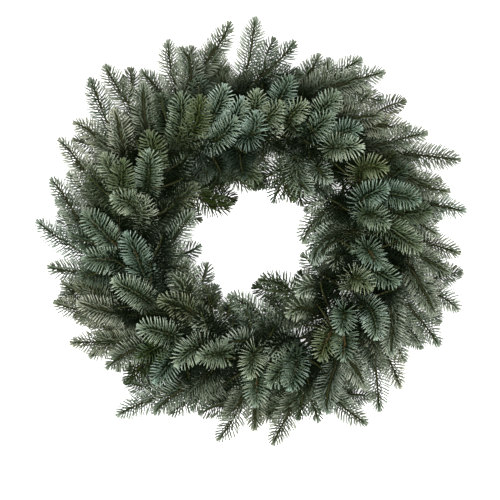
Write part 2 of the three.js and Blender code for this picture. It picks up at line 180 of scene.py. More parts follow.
# --- Ring frame -----------------------------------------------------------------------------------
# A box-wire wreath ring. Two low rails lie on the floor and two raised rails carry the stems. They
# are 3 mm steel wire, welded to six bent braces of thinner wire, and painted dark green.

LOW_RAILS = (128, 178)
RAISED_RAILS = (147, 161)
RAISED_HEIGHT = 24
RAIL_WIRE = 1.5
RAIL_STEPS = 180
WIRE_SIDES = 10
BRACE_WIRE = 1.2
BRACE_BEND = 5
FIRST_BRACE = 10.3
BRACE_STEP = 60
BRACE_BEARINGS = FIRST_BRACE + BRACE_STEP * np.arange(360 // BRACE_STEP)
# A brace's corners as reaches and heights: from one low rail up through both raised rails to the other.
BRACE_PATH = ((127.4, 1.5), (132, 8.5), (146, 24), (162, 24), (174, 8.5), (178.6, 1.5))
# How far a weld bead reaches to either side of its crossing, and its radii along that.
WELD_LENGTH = 2.4
WELD_RADII = np.array([0.4, 1.9, 2.2, 1.9, 0.4])
MOST_EASED = 0.4
# How much smoother and rougher than its paint a wire is, by its scuffs.
SCUFF_ROUGHNESS = (-0.12, 0.2)

frame_low, frame_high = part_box("ring_frame")
RING_CENTRE = np.array([(frame_low.x + frame_high.x) / 2, (frame_low.y + frame_high.y) / 2, 0])
UP = np.array([0.0, 0.0, 1.0])


def in_metres(points):
    """Points in millimetres from the ring's centre, as metres in the row frame."""
    return np.asarray(points) * 0.001 + RING_CENTRE


def unit(vectors):
    """Vectors divided by their own length."""
    return vectors / np.linalg.norm(vectors, axis=-1, keepdims=True)


def outward(bearing):
    """The direction away from the ring's centre at a bearing: its sine across and its cosine up."""
    angle = np.radians(bearing)
    return np.stack([np.sin(angle), np.cos(angle), 0 * angle], axis=-1)


def on_ring(bearing, reach, height):
    """Points at bearings: reach times the outward direction, raised by height."""
    bearing, reach, height = np.broadcast_arrays(bearing, reach, height)
    return outward(bearing) * reach[..., None] + UP * height[..., None]


def carried(path, radii, sides=WIRE_SIDES, closed=False):
    """A round section carried along a path, as points and faces.

    Each ring of corners is the path's point plus its radius times the cosine and sine of even angles,
    in two directions square to the path. They are the outward and the upward direction, turned by
    the least rotation that takes the clockwise direction onto the path.
    """
    if closed:
        along = unit(np.roll(path, -1, axis=0) - np.roll(path, 1, axis=0))
    else:
        along = unit(np.gradient(path, axis=0))
    out = unit(path * (1, 1, 0))
    up = np.broadcast_to(UP, out.shape)
    round_way = np.cross(out, up)
    middle = (round_way + along) / (1 + np.sum(round_way * along, axis=1, keepdims=True))
    first = out - np.sum(out * along, axis=1, keepdims=True) * middle
    second = up - np.sum(up * along, axis=1, keepdims=True) * middle
    angle = 2 * np.pi * np.arange(sides)[:, None] / sides
    spokes = np.cos(angle) * first[:, None] + np.sin(angle) * second[:, None]
    points = path[:, None] + np.broadcast_to(radii, len(path))[:, None, None] * spokes
    here = np.arange(len(path) - (not closed))[:, None] * sides
    there = (here + sides) % (len(path) * sides)
    side = np.arange(sides)
    after = (side + 1) % sides
    walls = np.stack([here + side, here + after, there + after, there + side], axis=-1)
    faces = [walls.reshape(-1, 4)]
    if not closed:
        faces += [side[None, ::-1], (side + (len(path) - 1) * sides)[None]]
    return points.reshape(-1, 3), faces


def gathered(parts):
    """Several parts of points and faces as one, each part's corner numbers moved past those before."""
    shifts = np.concatenate([[0], np.cumsum([len(points) for points, _ in parts])])
    faces = [block + shift for (_, blocks), shift in zip(parts, shifts) for block in blocks]
    return np.concatenate([points for points, _ in parts]), faces


def rounded(corners, bend, steps=5):
    """A path with each corner eased into a parabola, which starts and ends the length of the bend
    away from it, or the most eased share of the way to the next corner where that is shorter."""
    before, at, after = corners[:-2], corners[1:-1], corners[2:]
    back, ahead = before - at, after - at
    start = at + unit(back) * np.minimum(bend, MOST_EASED * np.linalg.norm(back, axis=1))[:, None]
    end = at + unit(ahead) * np.minimum(bend, MOST_EASED * np.linalg.norm(ahead, axis=1))[:, None]
    t = np.linspace(0, 1, steps)[:, None]
    eased = (1 - t) ** 2 * start[:, None] + 2 * t * (1 - t) * at[:, None] + t**2 * end[:, None]
    return np.concatenate([corners[:1], eased.reshape(-1, 3), corners[-1:]])


def worn_paint_group():
    """Shader group: paint that fades in broad patches and is scuffed in fine flecks."""
    group = bpy.data.node_groups.new("worn_paint", "ShaderNodeTree")
    for name, kind in (("Paint", "NodeSocketColor"), ("Faded", "NodeSocketColor"),
                       ("Scuff Scale", "NodeSocketFloat")):
        group.interface.new_socket(name, in_out="INPUT", socket_type=kind)
    for name, kind in (("Colour", "NodeSocketColor"), ("Scuffs", "NodeSocketFloat")):
        group.interface.new_socket(name, in_out="OUTPUT", socket_type=kind)
    given = group.nodes.new("NodeGroupInput").outputs
    put = group.nodes.new("NodeGroupOutput").inputs
    place = shader_node(group, "ShaderNodeTexCoord").outputs["Object"]
    patches = shader_node(group, "ShaderNodeTexNoise", {"Vector": place, "Scale": 60.0, "Detail": 3.0})
    flecks = shader_node(group, "ShaderNodeTexNoise",
                         {"Vector": place, "Scale": given["Scuff Scale"], "Detail": 4.0})
    colour = shader_node(group, "ShaderNodeMix", {0: patches.outputs[0], 6: given["Paint"],
                                                  7: given["Faded"]}, data_type="RGBA")
    group.links.new(colour.outputs[2], put["Colour"])
    group.links.new(flecks.outputs[0], put["Scuffs"])
    return group


worn_paint = worn_paint_group()


def painted_wire(name, paint, faded, roughness, scuff_scale):
    """Painted or lacquered wire: a satin coat with scuffs that lift its roughness and its height."""
    material, tree, surface = new_material(name)
    coat = shader_node(tree, "ShaderNodeGroup", node_tree=worn_paint)
    coat.inputs["Paint"].default_value = paint
    coat.inputs["Faded"].default_value = faded
    coat.inputs["Scuff Scale"].default_value = scuff_scale
    rough = shader_node(tree, "ShaderNodeMapRange", {
        "Value": coat.outputs["Scuffs"], "To Min": roughness + SCUFF_ROUGHNESS[0],
        "To Max": roughness + SCUFF_ROUGHNESS[1]})
    bumps = shader_node(tree, "ShaderNodeBump", {
        "Height": coat.outputs["Scuffs"], "Strength": 0.3, "Distance": 0.0003})
    body = shader_node(tree, "ShaderNodeBsdfPrincipled", {
        "Base Color": coat.outputs["Colour"], "Roughness": rough.outputs[0],
        "Normal": bumps.outputs[0], "Metallic": 0.0})
    tree.links.new(body.outputs[0], surface)
    return material


def ring_frame():
    """Four closed rails, six eased braces and a bead of weld at every crossing."""
    bearings = np.arange(RAIL_STEPS) * 360 / RAIL_STEPS
    levels = [(reach, RAIL_WIRE) for reach in LOW_RAILS]
    levels += [(reach, RAISED_HEIGHT) for reach in RAISED_RAILS]
    parts = [carried(on_ring(bearings, reach, height), RAIL_WIRE, closed=True) for reach, height in levels]
    reaches, heights = np.array(BRACE_PATH).T
    along_rail = np.linspace(-1, 1, len(WELD_RADII)) * WELD_LENGTH
    for bearing in BRACE_BEARINGS:
        path = rounded(on_ring(bearing, reaches, heights), BRACE_BEND)
        parts.append(carried(path, BRACE_WIRE))
        for reach, height in levels:
            bead = on_ring(bearing + np.degrees(along_rail / reach), reach, height)
            parts.append(carried(bead, WELD_RADII))
    points, faces = gathered(parts)
    points[:, 2] = np.maximum(points[:, 2], 0)
    return points, faces


frame_paint = painted_wire("frame_paint", paint=(0.018, 0.035, 0.02, 1), faded=(0.03, 0.052, 0.03, 1),
                           roughness=0.45, scuff_scale=900.0)
points, faces = ring_frame()
piece = mesh_piece("wire_ring", in_metres(points), faces, frame_paint)
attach(piece, "root")
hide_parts("ring_frame")

# --- Binding wire ---------------------------------------------------------------------------------
# One length of 1 mm green lacquered florist's wire. It runs under the raised rails from bunch to
# bunch, and takes two tight turns round the rails and the stems of each.

BUNCH_COUNT = 19
BUNCH_STEP = 360 / BUNCH_COUNT
RAIL_MIDDLE = 154
# How far apart the three stems of a bunch lie, and the room that one takes to its side.
STEM_SPACING = 5
STEM_ROOM = 2.6
# The wire's radius, its turns at each bunch and how far one advances, the bend at its corners, how far
# its centre line keeps off what it binds, and the height of its upper side.
TIE_WIRE = 0.5
TIE_SIDES = 8
TIE_TURNS = 2
TIE_PITCH = 2.6
TIE_BEND = 1.4
TIE_MARGIN = 1.1
TIE_TOP = 30.8
# Where a bunch is tied, in degrees past its fork: at the second place where a brace is within the
# clearance of the first.
TIE_PLACES = (-2.4, -5.4)
TIE_CLEARANCE = 2.6
# The wire also clears rails with flat sides, as the solid ones have, which lie this far further in.
RAIL_SAG = 1.07


def binding_path():
    """Turns of four corners at each bunch, advancing evenly, at the tie place clear of any brace."""
    half_below = RAISED_RAILS[1] - RAIL_MIDDLE + RAIL_WIRE + RAIL_SAG + TIE_MARGIN
    half_above = STEM_SPACING + STEM_ROOM + TIE_MARGIN
    below = RAISED_HEIGHT - RAIL_WIRE - TIE_MARGIN
    turn = [(-half_below, below), (-half_above, TIE_TOP), (half_above, TIE_TOP), (half_below, below)]
    offset, height = np.array([(0, below), *turn * TIE_TURNS, (0, below)]).T
    near = np.arange(BUNCH_COUNT) * BUNCH_STEP + TIE_PLACES[0]
    past = (near - FIRST_BRACE) % BRACE_STEP
    blocked = np.minimum(past, BRACE_STEP - past) <= TIE_CLEARANCE
    bearing = near + np.where(blocked, TIE_PLACES[1] - TIE_PLACES[0], 0)
    advance = TIE_PITCH * (np.arange(len(offset)) - len(offset) / 2) / len(turn) / RAIL_MIDDLE
    return on_ring(bearing[:, None] + np.degrees(advance), RAIL_MIDDLE + offset, height).reshape(-1, 3)


wire_lacquer = painted_wire("wire_lacquer", paint=(0.012, 0.04, 0.02, 1), faded=(0.02, 0.055, 0.03, 1),
                            roughness=0.35, scuff_scale=1500.0)
points, faces = carried(rounded(binding_path(), TIE_BEND), TIE_WIRE, TIE_SIDES)
piece = mesh_piece("binding_wire_turns", in_metres(points), faces, wire_lacquer)
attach(piece, "root")
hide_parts("binding_wire")

# --- Twigs ----------------------------------------------------------------------------------------
# Each bunch holds an outer, a face and an inner spray of cut fir. The first twig of a spray is its
# bough, with a bare stem tied on the rails. The others fork from it, and lower shoots from them all.
# The bark is thin and olive, browner with age, ruddy on some face twigs, with a bud at every end.

# Every twig's tip as bearing, reach and heading, bunch by bunch round the ring, read from the
# photograph. A bunch lists its outer, its face and its inner spray, and a spray its bough first.
BUNCHES = (
    (((31.5, 292, 29), (20, 274, 4), (38.6, 294, 37)),
     ((14, 231, 15), (13, 194, 30)),
     ((16.5, 161, 60), (11, 84, 100))),
    (((38.6, 264, 5), (23, 274, -5), (47, 248, 45), (55, 268, 37)),
     ((30.6, 235, 15), (22.5, 204, 35), (32.7, 207, 15)),
     ((53.8, 106, 70), (50, 80, 92))),
    (((58.6, 283, 22), (69, 307, 29), (76, 279, 19)),
     ((45, 214, 41), (50.6, 199, 43)),
     ((54.7, 135, 75),)),
    (((82.2, 296, 20), (72, 274, 10), (88.6, 256, 31), (83, 262, 10)),
     ((77, 236, 32), (62.9, 210, 42)),
     ((95, 70, 95),)),
    (((99.3, 276, 20), (93.6, 287, 18), (112.2, 271, 40)),
     ((84.7, 187, 47), (69, 201, 10), (93.4, 232, 33)),
     ((98, 139, 80), (112, 92, 68))),
    (((119.4, 294, 29), (108.8, 300, 29), (130, 246, 51), (128.4, 268, 20)),
     ((102.9, 177, 53), (106, 210, 10)),
     ((111, 123, 65),)),
    (((135, 286, 29), (122, 264, 2), (143.4, 290, 32)),
     ((129, 214, 55), (112, 177, 20)),
     ((142, 96, 82),)),
    (((142.5, 256, 18), (159, 252, 30), (156.3, 258, 15)),
     ((143.5, 203, 50), (137, 174, 56), (151, 186, 48)),
     ((156.5, 113, 72), (173, 53, 95))),
    (((159.7, 264, 5), (147.5, 297, -20), (166, 251, 35), (174.5, 280, 30)),
     ((166.5, 208, 35), (174, 197, 46)),
     ((173.5, 162, 45), (206, 79, 88))),
    (((190.2, 276, 33), (179.2, 260, 5), (189.5, 243, 45)),
     ((179, 224, 8), (181, 187, 7)),
     ((197.5, 146, 58),)),
    (((206.5, 262, 38), (198, 229, 40), (209.7, 271, 10), (218, 302, 21)),
     ((206, 173, 55), (211.5, 199, 7)),
     ((214.5, 143, 25), (239, 151, 40))),
    (((241.2, 284, 27), (221.8, 262, 0), (228.8, 264, -3)),
     ((225, 222, 20), (214.7, 234, 5), (234.3, 192, 50)),
     ((250, 122, 52), (258, 92, 90))),
    (((253.6, 282, 42), (234.7, 274, 8), (251.5, 252, 37), (256.8, 249, 35)),
     ((255.2, 196, 41), (275, 171, 57)),
     ((263, 163, 50),)),
    (((276, 295, 36), (263.4, 282, 25), (287.9, 287, 33)),
     ((280.6, 232, 35), (264.3, 231, 6)),
     ((268.8, 145, 58), (300, 88, 95))),
    (((291, 268, 30), (277.9, 256, 10), (298.2, 298, 17)),
     ((303.8, 205, 65), (287.5, 201, -5), (301, 235, 30)),
     ((295, 161, 62),)),
    (((315.6, 314, 24), (305, 263, 30), (314.3, 262, 25), (303.8, 294, -8)),
     ((312.5, 187, 45), (317.5, 206, 27)),
     ((318.4, 109, 77),)),
    (((320.4, 314, 12), (319.3, 244, 16), (326.5, 263, 36)),
     ((340.8, 211, 17), (335, 225, 20)),
     ((326, 145, 70), (337, 57, 95))),
    (((338, 298, 25), (327.2, 280, -7), (339, 282, -31), (354.7, 302, 26)),
     ((351, 216, 25), (353.9, 170, 40), (357, 197, 20)),
     ((340.6, 158, 48),)),
    (((1, 307, 5), (348.3, 277, 0), (12.5, 280, 22)),
     ((2, 207, 0), (2, 178, 0)),
     ((5, 75, 93),)),
)

# How each layer's stem lies, leaves the ring and arrives: the stem's place, its heading and slope at
# the fork, and the slope of its tips.
LAYERS = {"outer": (1, 62, 0.3, 0.02), "face": (0, 82, 0.75, 0.25), "inner": (-1, 112, 0.4, 0.05)}

# A bare stem starts this many degrees before its fork.
STEM_TURN = 9
STEM_HEIGHT = 27.9
STEM_RADIUS = 2.5
STEM_RINGS = 8
TWIG_RADIUS = 1.9
TWIG_SIDES = 8
TWIG_STEP = 5.0
SHOOT_RADIUS = 1.4
SHOOT_SIDES = 6
TIP_RADIUS = 1.0
FEWEST_RINGS = 5
BARK_SWELLS = (0.94, 1.08)
# How many even steps a twig's curve has, its handles as a share of the way from its fork to its tip,
# and the least handle at a tip.
CURVE_STEPS = 400
TWIG_HANDLE = 0.38
TIP_HANDLES = {"outer": 20, "face": 58, "inner": 40}
# Where the second twig forks from its bough, and how much further on each next one does, as shares.
FIRST_FORK = 0.18
FORK_STEP = 0.1
# How far needles reach past the end of their twig.
TIP_NEEDLES = 8
# Each layer's lower shoots: how far back from the tip they fork, or on from the twig's own fork where
# negative, their length, and the least and most reach of their tips.
SHOOTS = {"outer": ((58, 100, 145, -45, -15), 55, 86, 243), "face": ((62, 105, 150, -22), 62, 82, 250),
          "inner": ((45, 80, 115, -20, -42), 55, 59, 250)}
# Shoots that fork this far back come up beside their twig's tip as its twins. A share of them grow,
# they may reach further out, and their needles get less painted shade.
TWIN_PLACE = 58
TWIN_SHARE = 0.45
TWIN_REACH = 46
TWIN_SHADE = 0.42
# How dark the needles of the other lower shoots are painted, from 0 to 1, for age and mostly as
# painted shade under the sprays above them, and the share of it at four reaches of their tips: at the
# hole, under the face from and to, and at the rim.
SHADE = {"outer": 0.98, "face": 0.98, "inner": 0.8}
SHADED_REACHES = (84, 104, 216, 244)
SHADED_SHARES = (0.86, 1, 1, 0.52)
# How far shoots droop, and the least height of their tips. Those from near the twig's fork hang
# deeper, and end further from the hole.
DROOP = (12, 22)
DEEP_DROOP = (24, 34)
DEEP_NEAREST = 94
SHOOT_FLOOR = 7
# The steps of a curve that a shoot may fork from, the share of its length that it has, the angles to
# its twig at which it leaves and arrives, and how steeply it falls as it arrives.
FORKABLE = (24, 380)
SHOOT_SIZES = (0.85, 1.12)
SHOOT_LEAVES = (40, 56)
SHOOT_ARRIVES = (18, 34)
SHOOT_FALL = 0.15
# A bud's radii along it as shares of its greatest, where it starts and ends past the twig's end, and
# the steps of the curve over which its way is taken.
BUD_PROFILE = np.array([0.45, 0.95, 1.0, 0.7, 0.12])
BUD_START = -0.6
BUD_LENGTH = 3.0
BUD_RADIUS = 1.2
BUD_SIDES = 6
BUD_AIM = 5


def heading_way(bearing, heading, slope):
    """The direction at a bearing that points along a heading and climbs at a slope."""
    level = outward(bearing) * np.cos(np.radians(heading))
    level += outward(bearing + 90) * np.sin(np.radians(heading))
    return unit(level + UP * slope)


def twig_curve(fork, leave, tip, arrive, tip_handle=0):
    """A cubic curve from fork to tip whose handles lie along its two directions, at points that are
    evenly spaced along it. The tip's handle has a least length."""
    handle = TWIG_HANDLE * np.linalg.norm(tip - fork)
    first, second = fork + leave * handle, tip - arrive * max(handle, tip_handle)
    t = np.linspace(0, 1, CURVE_STEPS + 1)[:, None]
    curve = (1 - t) ** 3 * fork + 3 * t * (1 - t) ** 2 * first + 3 * t**2 * (1 - t) * second + t**3 * tip
    return respaced(curve, CURVE_STEPS + 1)


def respaced(path, count):
    """The same path at evenly spaced distances along itself."""
    steps = np.linalg.norm(np.diff(path, axis=0), axis=1)
    distance = np.concatenate([[0], np.cumsum(steps)])
    even = np.linspace(0, distance[-1], count)
    return np.stack([np.interp(even, distance, axis) for axis in path.T], axis=1)


def path_length(path):
    """The sum of the distances between neighbouring points."""
    return np.linalg.norm(np.diff(path, axis=0), axis=1).sum()


def carried_height(node, point):
    """The height of the frame node's corner that lies nearest in plan to a point in millimetres."""
    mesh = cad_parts[node].data
    corners = np.empty(3 * len(mesh.vertices), np.float32)
    mesh.vertices.foreach_get("co", corners)
    corners = (corners.reshape(-1, 3) - RING_CENTRE) * 1000
    return corners[np.argmin(np.hypot(*(corners[:, :2] - point[:2]).T)), 2]


def spray_twigs(node, layer, bunch, tips):
    """The curves of a spray's twigs to their tips, the bough first, and the cut end of its stem."""
    place, leave, rise, tip_slope = LAYERS[layer]
    twigs = []
    for index, (bearing, reach, heading) in enumerate(tips):
        arrive = heading_way(bearing, heading, tip_slope)
        tip = on_ring(bearing, reach, 0) - arrive * TIP_NEEDLES
        tip[2] = carried_height(node, tip)
        if twigs:
            bough = twigs[0]
            at = int(round((FIRST_FORK + FORK_STEP * (index - 1)) * CURVE_STEPS))
            fork = bough[at]
            way = unit(unit(bough[at + 1] - bough[at]) + unit(tip - fork))
        else:
            fork = on_ring(bunch * BUNCH_STEP, RAIL_MIDDLE + place * STEM_SPACING, STEM_HEIGHT)
            way = heading_way(bunch * BUNCH_STEP, leave, rise)
        twigs.append(twig_curve(fork, way, tip, arrive, TIP_HANDLES[layer]))
    cut_end = on_ring(bunch * BUNCH_STEP - STEM_TURN, RAIL_MIDDLE + place * STEM_SPACING, STEM_HEIGHT)
    return twigs, cut_end


def shade_of(layer, reach):
    """The painted shade on a lower shoot's needles: its layer's, less where its tip reaches the light."""
    return SHADE[layer] * np.interp(reach, SHADED_REACHES, SHADED_SHARES)


def side_shoots(curve, layer, draw):
    """The lower shoots of a twig, each a curve and the painted shade of its needles.

    They come in pairs. Each leaves at an angle to its side, arrives closer to the twig's own way, and
    droops. One that would reach past its layer's bounds is left out.
    """
    places, length, nearest, furthest = SHOOTS[layer]
    whole = path_length(curve)
    shoots = []
    for place in places:
        at = int(round((place > 0) * CURVE_STEPS - place / whole * CURVE_STEPS))
        if not FORKABLE[0] <= at <= FORKABLE[1]:
            continue
        along = unit(curve[at + 1] - curve[at - 1])
        across = unit(np.cross(along, UP))
        twin = place == TWIN_PLACE
        for side in (-1, 1):
            if twin and draw.random() > TWIN_SHARE:
                continue
            size = length * draw.uniform(*SHOOT_SIZES)
            wide = np.radians(draw.uniform(*SHOOT_LEAVES))
            close = np.radians(draw.uniform(*SHOOT_ARRIVES))
            leave = along * np.cos(wide) + across * side * np.sin(wide)
            arrive = along * np.cos(close) + across * side * np.sin(close) - SHOOT_FALL * UP
            drop = draw.uniform(*(DROOP if place > 0 else DEEP_DROOP))
            tip = curve[at] + unit(leave + arrive) * size - UP * drop
            tip[2] = max(tip[2], SHOOT_FLOOR)
            reach = np.hypot(tip[0], tip[1])
            least = nearest if place > 0 else DEEP_NEAREST
            if least < reach < furthest + twin * TWIN_REACH:
                shoot = twig_curve(curve[at], unit(leave), tip, unit(arrive))
                shoots.append((shoot, TWIN_SHADE if twin else shade_of(layer, reach)))
    return shoots


def twig_radius(share, base=TWIG_RADIUS):
    """From the fork to the tip: thick to thin by the square of the share of the way."""
    return base + (TIP_RADIUS - base) * share**2


def softened(path):
    """The path with each inner point moved to the weighted mean of itself and its two neighbours."""
    inner = 0.25 * path[:-2] + 0.5 * path[1:-1] + 0.25 * path[2:]
    return np.concatenate([path[:1], inner, path[-1:]])


def bark_tube(curve, cut_end, base, sides, draw):
    """A twig's round bark with slight swellings, as points, faces and age. A bough has its bare stem
    before it."""
    path = respaced(curve, max(FEWEST_RINGS, int(path_length(curve) / TWIG_STEP)))
    radii = twig_radius(np.linspace(0, 1, len(path)), base)
    if cut_end is not None:
        stem = np.linspace(cut_end, curve[0], STEM_RINGS)[:-1]
        path = softened(softened(np.concatenate([stem, path])))
        radii = np.concatenate([np.full(len(stem), STEM_RADIUS), radii])
    radii = radii * draw.uniform(*BARK_SWELLS, len(radii))
    points, faces = carried(path, radii, sides)
    return points, faces, np.repeat(np.linspace(1, 0, len(path)), sides)


def tip_bud(curve):
    """An egg-shaped bud that carries on from a twig: a profile of five radii along a short path."""
    way = unit(curve[-1] - curve[-1 - BUD_AIM])
    path = curve[-1] + way * np.linspace(BUD_START, BUD_LENGTH, len(BUD_PROFILE))[:, None]
    return carried(path, BUD_RADIUS * BUD_PROFILE, BUD_SIDES)


def spray_bark(twigs, shoots, cut_end, ruddy_twigs, draw):
    """The bark and buds of a spray in one mesh, with its age, cut, bud and ruddy masks. Only the
    first few twigs may be ruddy."""
    parts, age, buds, ruddy = [], [], [], []
    for index, curve in enumerate(twigs + shoots):
        is_twig = index < len(twigs)
        base, sides = (TWIG_RADIUS, TWIG_SIDES) if is_twig else (SHOOT_RADIUS, SHOOT_SIDES)
        points, faces, bark_age = bark_tube(curve, None if index else cut_end, base, sides, draw)
        parts.append((points, faces))
        age.append(bark_age)
        buds.append(np.zeros(len(points)))
        bud = tip_bud(curve)
        parts.append(bud)
        age.append(np.zeros(len(bud[0])))
        buds.append(np.ones(len(bud[0])))
        redness = draw.random() * (index < ruddy_twigs)
        ruddy.append(np.full(len(points) + len(bud[0]), redness))
    points, faces = gathered(parts)
    cut = np.zeros(len(points))
    cut[:TWIG_SIDES] = 1
    return points, faces, {"age": np.concatenate(age), "cut": cut, "bud": np.concatenate(buds),
                           "ruddy": np.concatenate(ruddy)}


def attribute(tree, name):
    """The number that a mesh holds under a name."""
    return shader_node(tree, "ShaderNodeAttribute", attribute_name=name).outputs["Fac"]


def blended(tree, factor, first, second, **settings):
    """The first colour turning into the second by a factor."""
    made = shader_node(tree, "ShaderNodeMix", {0: factor, 6: first, 7: second}, data_type="RGBA", **settings)
    return made.outputs[2]


def fir_bark():
    """Olive young bark that browns with age, pale at the cut end and red-brown on the buds."""
    material, tree, surface = new_material("fir_bark")
    place = shader_node(tree, "ShaderNodeTexCoord").outputs["Object"]
    grain = shader_node(tree, "ShaderNodeTexNoise", {"Vector": place, "Scale": 700.0, "Detail": 4.0})
    patches = shader_node(tree, "ShaderNodeTexNoise", {"Vector": place, "Scale": 45.0})
    olive = blended(tree, patches.outputs[0], (0.016, 0.024, 0.006, 1), (0.042, 0.05, 0.012, 1))
    ruddy = shader_node(tree, "ShaderNodeMapRange", {
        "Value": attribute(tree, "ruddy"), "From Min": 0.7, "From Max": 0.85})
    young = blended(tree, ruddy.outputs[0], olive, (0.12, 0.072, 0.022, 1))
    old = blended(tree, grain.outputs[0], (0.013, 0.011, 0.007, 1), (0.045, 0.034, 0.02, 1))
    bark = blended(tree, attribute(tree, "age"), young, old)
    budded = blended(tree, attribute(tree, "bud"), bark, (0.06, 0.038, 0.018, 1))
    colour = blended(tree, attribute(tree, "cut"), budded, (0.55, 0.42, 0.24, 1))
    bumps = shader_node(tree, "ShaderNodeBump", {
        "Height": grain.outputs[0], "Strength": 0.6, "Distance": 0.0005})
    rough = shader_node(tree, "ShaderNodeMapRange", {
        "Value": grain.outputs[0], "To Min": 0.45, "To Max": 0.85})
    body = shader_node(tree, "ShaderNodeBsdfPrincipled", {
        "Base Color": colour, "Roughness": rough.outputs[0], "Normal": bumps.outputs[0],
        "Specular IOR Level": 0.1})
    tree.links.new(body.outputs[0], surface)
    return material


bark_finish = fir_bark()

# --- Needles --------------------------------------------------------------------------------------
# Flat, blunt, four-angled needles, 20 mm long and under 2 mm wide, which stand out from the twig like
# combs and sweep forwards and up. Wax along each face makes them glaucous, more on some tips.

# A needle's full length, the least and the most of it that one has, its width and thickness, how deep
# its root lies as a share of the twig's radius, and how softly the floor stops it.
NEEDLE_LENGTH = 21.5
NEEDLE_LENGTHS = (0.9, 1.06)
NEEDLE_WIDTHS = {"outer": 1.7, "face": 1.9, "inner": 1.85}
NEEDLE_THICKNESS = 0.8
ROOT_DEPTH = 0.8
FLOOR_EASE = 2.0
# Stations along a needle as shares of its length, and the share of its full section at each.
NEEDLE_STATIONS = np.array([0.0, 0.45, 0.88])
NEEDLE_PROFILE = np.array([0.55, 1.0, 0.85])
# The rows of needles round a twig: how far each is turned from the top, where its first needle is as
# a share of the pitch, and the pitch in millimetres.
TWIG_ROWS = {
    "outer": ((92, 0.0, 3.8), (-92, 0.5, 3.8), (66, 0.0, 3.8), (-66, 0.5, 3.8), (26, 0.2, 4.6),
              (-26, 0.7, 4.6), (150, 0.0, 7.6), (-150, 0.5, 7.6)),
    "face": ((96, 0.0, 3.8), (-96, 0.5, 3.8), (68, 0.0, 3.8), (-68, 0.5, 3.8), (30, 0.2, 3.8),
             (-30, 0.7, 3.8), (0, 0.4, 4.5), (150, 0.0, 9.0), (-150, 0.5, 9.0)),
    "inner": ((95, 0.0, 3.9), (-95, 0.5, 3.9), (66, 0.0, 3.9), (-66, 0.5, 3.9), (26, 0.2, 4.2),
              (-26, 0.7, 4.2), (150, 0.0, 8.8), (-150, 0.5, 8.8)),
}
SHOOT_ROWS = ((95, 0.0, 4.3), (-95, 0.5, 4.3), (62, 0.0, 4.3), (-62, 0.5, 4.3), (15, 0.4, 6.0),
              (150, 0.4, 8.0))
# A row's first needle, the scatter of places and turns, and the length past which rows are twice as
# open. A small brush of needles ends every twig, and the start of one is bare.
FIRST_NEEDLE = 1.0
PLACE_SCATTER = 0.14
TURN_SCATTER = 3
DENSE_LENGTH = 125
BRUSH = 4
BRUSH_DEPTH = 0.3
BARE_TWIG = 12
BARE_SHOOT = 2
# How the needles of each layer stand: their lean from the twig in degrees, the length over which they
# shorten towards its tip, and how far back from the tip they stay fresh, before age and painted shade
# darken them.
HABITS = {"outer": (78, 14, 56), "face": (85, 10, 46), "inner": (80, 12, 100)}
# How much further forward needles lean on top of a twig, their lean at its tip and how late they turn
# to it, the scatter, and the wider scatter of a small share of strays.
TOP_LEAN = 20
TIP_LEAN = 17
TIP_LEAN_EASE = 1.3
LEAN_SCATTER = 2.2
STRAY_SHARE = 0.02
STRAY_SCATTER = 24
# How much shorter they are on top and at the tip, and how much less wax they have on top.
TOP_SHORTER = 0.12
TIP_SHORTER = 0.7
TOP_BARER = 0.7
# How far a needle bends, as a share of its length, and which way: up, and along the twig.
BENDS = (0.16, 0.3)
UPWARD_BEND = 0.35
BEND_SCATTER = 0.08
# How far a needle's broad face turns up, against the way it would face on a straight comb.
FACE_LIFT = 1.5
FACE_SCATTER = 0.15
# The length over which needles darken past the fresh ones, by age and by painted shade deeper in the
# wreath, and the darkest they get.
AGEING_AND_SHADING_LENGTH = 65
MOST_AGED_AND_SHADED = 0.85
WAX_SCATTER = 0.13
WARMTH_SCATTER = 0.12

# Tips whose colour stands out in the photograph. Their tones are partly the needles' own colour and
# partly painted light and shade, as it fell on each there. Any other tip is plain.
TONES = {
    "very_pale": ((251.5, 252), (50.6, 199), (250, 122), (255.2, 196), (234.3, 192)),
    "pale": ((1, 307), (16.5, 161), (129, 214), (142, 96), (142.5, 256), (173.5, 162),
             (181, 187), (197.5, 146), (206, 173), (211.5, 199), (214.5, 143), (218, 302),
             (268.8, 145), (295, 161), (298.2, 298), (301, 235), (312.5, 187), (314.3, 262),
             (327.2, 280), (351, 216)),
    "teal": ((14, 231), (45, 214), (77, 236), (102.9, 177), (106, 210), (166.5, 208), (179, 224),
             (214.7, 234), (263, 163), (275, 171), (326, 145), (340.6, 158), (353.9, 170)),
    "blue": ((2, 178), (69, 201), (264.3, 231), (357, 197)),
    "dark": ((166, 251), (98, 139), (221.8, 262), (225, 222), (11, 84), (50, 80), (5, 75), (337, 57),
             (173, 53)),
    "olive": ((159, 252), (198, 229), (256.8, 249), (62.9, 210), (151, 186), (239, 151),
              (303.8, 205), (317.5, 206), (318.4, 109), (319.3, 244), (340.8, 211)),
}
# The wax and the warmth of the needles of each tone, from 0 to 1.
TONE_VALUES = {"plain": (0.68, 0.4), "very_pale": (1.0, 0.45), "pale": (0.92, 0.45), "teal": (0.72, 0.12),
               "blue": (0.72, 0.0), "dark": (0.22, 0.4), "olive": (0.42, 0.75)}


def tone_of(bearing, reach):
    """The wax and warmth of the tip at a bearing and reach."""
    named = [tone for tone, tips in TONES.items() if (bearing, reach) in tips]
    return TONE_VALUES[named[0] if named else "plain"]


